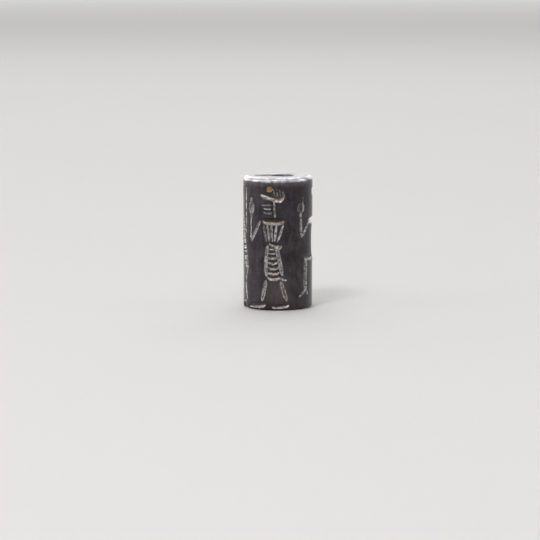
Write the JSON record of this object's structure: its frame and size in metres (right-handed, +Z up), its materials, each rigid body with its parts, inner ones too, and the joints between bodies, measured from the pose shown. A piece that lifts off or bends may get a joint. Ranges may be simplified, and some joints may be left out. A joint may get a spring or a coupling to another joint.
{
  "type": "cylinder seal",
  "caption": "Small drilled stone drum standing on its flat end, its wall cut with a sunken frieze of figures that rolls out as a raised strip on clay.",
  "frame": {"origin": "on the seal's long axis, in the plane of the lower flat end that it stands on", "axes": "+Z up along the bore, +Y away from the viewer, so the robed worshipper on the wall faces -Y and +X is to the viewer's right"},
  "size_m": [0.011, 0.011, 0.0208],
  "materials": {
    "haematite": "polished"
  },
  "bodies": {
    "root": {"seal": "haematite"}
  },
  "joints": []
}
